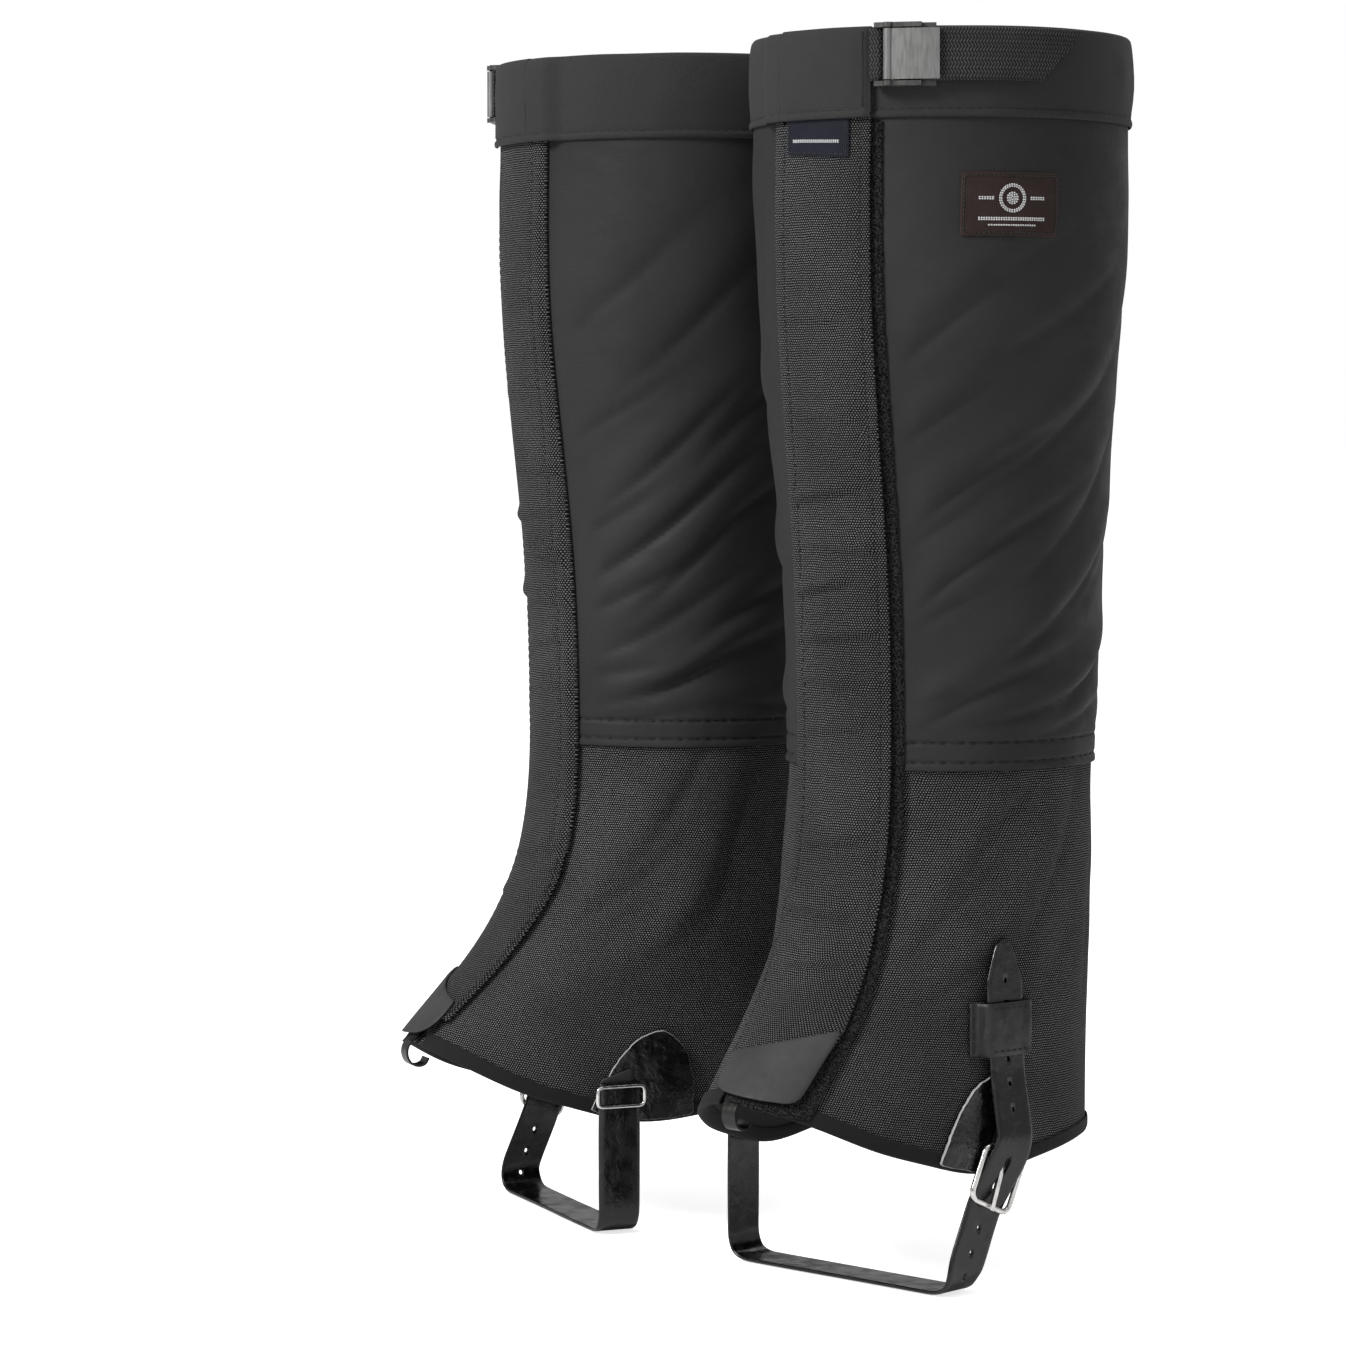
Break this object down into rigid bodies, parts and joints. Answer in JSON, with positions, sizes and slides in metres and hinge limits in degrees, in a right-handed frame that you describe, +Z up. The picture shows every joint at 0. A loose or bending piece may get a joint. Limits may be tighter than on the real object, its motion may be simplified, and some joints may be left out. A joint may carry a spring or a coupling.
{
  "type": "gaiters",
  "caption": "Pair of knee-high mountaineering gaiters with front flaps, cam-buckle collars, toe tabs and buckled instep straps.",
  "frame": {"origin": "on the ground plane of the instep straps, under the middle of the pair's footprint", "axes": "+Z up along the legs, +X towards the wearer's left, toes point to -Y"},
  "size_m": [0.3278, 0.2051, 0.5008],
  "materials": {
    "shell_fabric": "smooth laminated shell fabric, dark charcoal",
    "coarse_fabric": "coarse woven abrasion fabric, dark charcoal",
    "lining": "coated pack cloth, dark",
    "binding": "folded tape, black",
    "twill": "fine twill, charcoal",
    "loop_tape": "brushed loop tape, black",
    "hook_tape": "hook tape, black",
    "webbing": "ribbed webbing, black",
    "brown_label": "woven label, dark brown",
    "navy_label": "woven label, navy",
    "coated_sheet": "glossy coated sheet, black",
    "coated_strap": "glossy coated strap, black",
    "matte_strap": "matte black strap",
    "tab_rubber": "smooth grey moulded tab",
    "dark_steel": "black coated steel",
    "nickel": "polished nickel plate",
    "dark_buckle": "dark satin metal",
    "lever_metal": "grey satin metal"
  },
  "bodies": {
    "left_shell": {"left_upper_panel": "shell_fabric", "left_lower_panel": "coarse_fabric", "left_lower_lining": "lining", "left_hem_binding": "binding", "left_collar": "twill", "left_loop_tape": "loop_tape", "left_flap_base": "coarse_fabric", "left_lace_hook": "dark_steel", "left_lace_hook_rivet": "nickel", "left_top_strap": "webbing", "left_side_label": "brown_label", "left_instep_patch_outer": "coated_sheet", "left_instep_patch_inner": "coated_sheet", "left_strap_keeper": "matte_strap", "left_instep_strap_tail": "coated_strap"},
    "left_flap": {"left_front_flap": "coarse_fabric", "left_flap_collar": "twill", "left_hook_tape": "hook_tape", "left_flap_label": "navy_label", "left_buckle_anchor": "webbing", "left_cam_frame": "dark_buckle", "left_cam_pin": "nickel", "left_top_strap_fold": "webbing"},
    "left_toe_tab": {"left_toe_tab": "tab_rubber"},
    "left_cam_lever": {"left_cam_lever": "lever_metal"},
    "left_top_strap_tail": {"left_top_strap_tail": "webbing"},
    "left_instep_loop": {"left_instep_strap": "coated_strap", "left_buckle_chape": "coated_strap", "left_pin_buckle_frame": "nickel"},
    "left_buckle_prong": {"left_pin_buckle_prong": "nickel"},
    "right_shell": {"right_upper_panel": "shell_fabric", "right_lower_panel": "coarse_fabric", "right_lower_lining": "lining", "right_hem_binding": "binding", "right_collar": "twill", "right_loop_tape": "loop_tape", "right_flap_base": "coarse_fabric", "right_lace_hook": "dark_steel", "right_lace_hook_rivet": "nickel", "right_top_strap": "webbing", "right_side_label": "brown_label", "right_instep_patch_outer": "coated_sheet", "right_instep_patch_inner": "coated_sheet", "right_strap_keeper": "matte_strap", "right_instep_strap_tail": "coated_strap"},
    "right_flap": {"right_front_flap": "coarse_fabric", "right_flap_collar": "twill", "right_hook_tape": "hook_tape", "right_buckle_anchor": "webbing", "right_cam_frame": "dark_buckle", "right_cam_pin": "nickel", "right_top_strap_fold": "webbing"},
    "right_toe_tab": {"right_toe_tab": "tab_rubber"},
    "right_cam_lever": {"right_cam_lever": "lever_metal"},
    "right_top_strap_tail": {"right_top_strap_tail": "webbing"},
    "right_instep_loop": {"right_instep_strap": "coated_strap", "right_buckle_chape": "coated_strap", "right_pin_buckle_frame": "nickel"},
    "right_buckle_prong": {"right_pin_buckle_prong": "nickel"}
  },
  "joints": [
    {"name": "left_flap_opening", "type": "hinge", "parent": "left_shell", "child": "left_flap", "pos_m": [0.07427, -0.05323, 0.5], "axis": [-0.0034, 0.0307, -0.9995], "range_deg": [0, 95]},
    {"name": "left_toe_tab_peel", "type": "hinge", "parent": "left_shell", "child": "left_toe_tab", "pos_m": [0.12054, -0.06474, 0.107], "axis": [-0.8563, -0.4684, -0.2176], "range_deg": [0, 60]},
    {"name": "left_cam_lever_lift", "type": "hinge", "parent": "left_flap", "child": "left_cam_lever", "pos_m": [0.12431, -0.04413, 0.4885], "axis": [0, 0, -1], "range_deg": [0, 85]},
    {"name": "left_top_strap_slide", "type": "hinge", "parent": "left_flap", "child": "left_top_strap_tail", "pos_m": [0.0815, 0.02768, 0.4885], "axis": [0, 0, 1], "range_deg": [0, 8]},
    {"name": "left_instep_strap_swing", "type": "hinge", "parent": "left_shell", "child": "left_instep_loop", "pos_m": [0.14548, 0.00191, 0.06], "axis": [0.9592, 0.2829, 0], "range_deg": [-10, 10]},
    {"name": "left_prong_lift", "type": "hinge", "parent": "left_instep_loop", "child": "left_buckle_prong", "pos_m": [0.14802, -0.00019, 0.05543], "axis": [-0.0255, -0.9132, 0.4067], "range_deg": [0, 4]},
    {"name": "right_flap_opening", "type": "hinge", "parent": "right_shell", "child": "right_flap", "pos_m": [-0.08974, -0.05323, 0.5], "axis": [-0.0092, -0.0295, 0.9995], "range_deg": [0, 95]},
    {"name": "right_toe_tab_peel", "type": "hinge", "parent": "right_shell", "child": "right_toe_tab", "pos_m": [-0.13736, -0.0557, 0.107], "axis": [-0.7512, 0.6231, 0.2176], "range_deg": [0, 60]},
    {"name": "right_cam_lever_lift", "type": "hinge", "parent": "right_flap", "child": "right_cam_lever", "pos_m": [-0.13711, -0.03474, 0.4885], "axis": [0, 0, 1], "range_deg": [0, 85]},
    {"name": "right_top_strap_slide", "type": "hinge", "parent": "right_flap", "child": "right_top_strap_tail", "pos_m": [-0.08139, 0.02758, 0.4885], "axis": [0, 0, -1], "range_deg": [0, 8]},
    {"name": "right_instep_strap_swing", "type": "hinge", "parent": "right_shell", "child": "right_instep_loop", "pos_m": [-0.14911, 0.01449, 0.06], "axis": [0.8876, -0.4607, 0], "range_deg": [-10, 10]},
    {"name": "right_prong_lift", "type": "hinge", "parent": "right_instep_loop", "child": "right_buckle_prong", "pos_m": [-0.15201, 0.01291, 0.05543], "axis": [0.1492, 0.9013, -0.4067], "range_deg": [0, 4]},
    {"name": "pair_spacing", "type": "slide", "parent": "left_shell", "child": "right_shell", "axis": [-1, 0, 0], "range_m": [0, 0.15]}
  ]
}
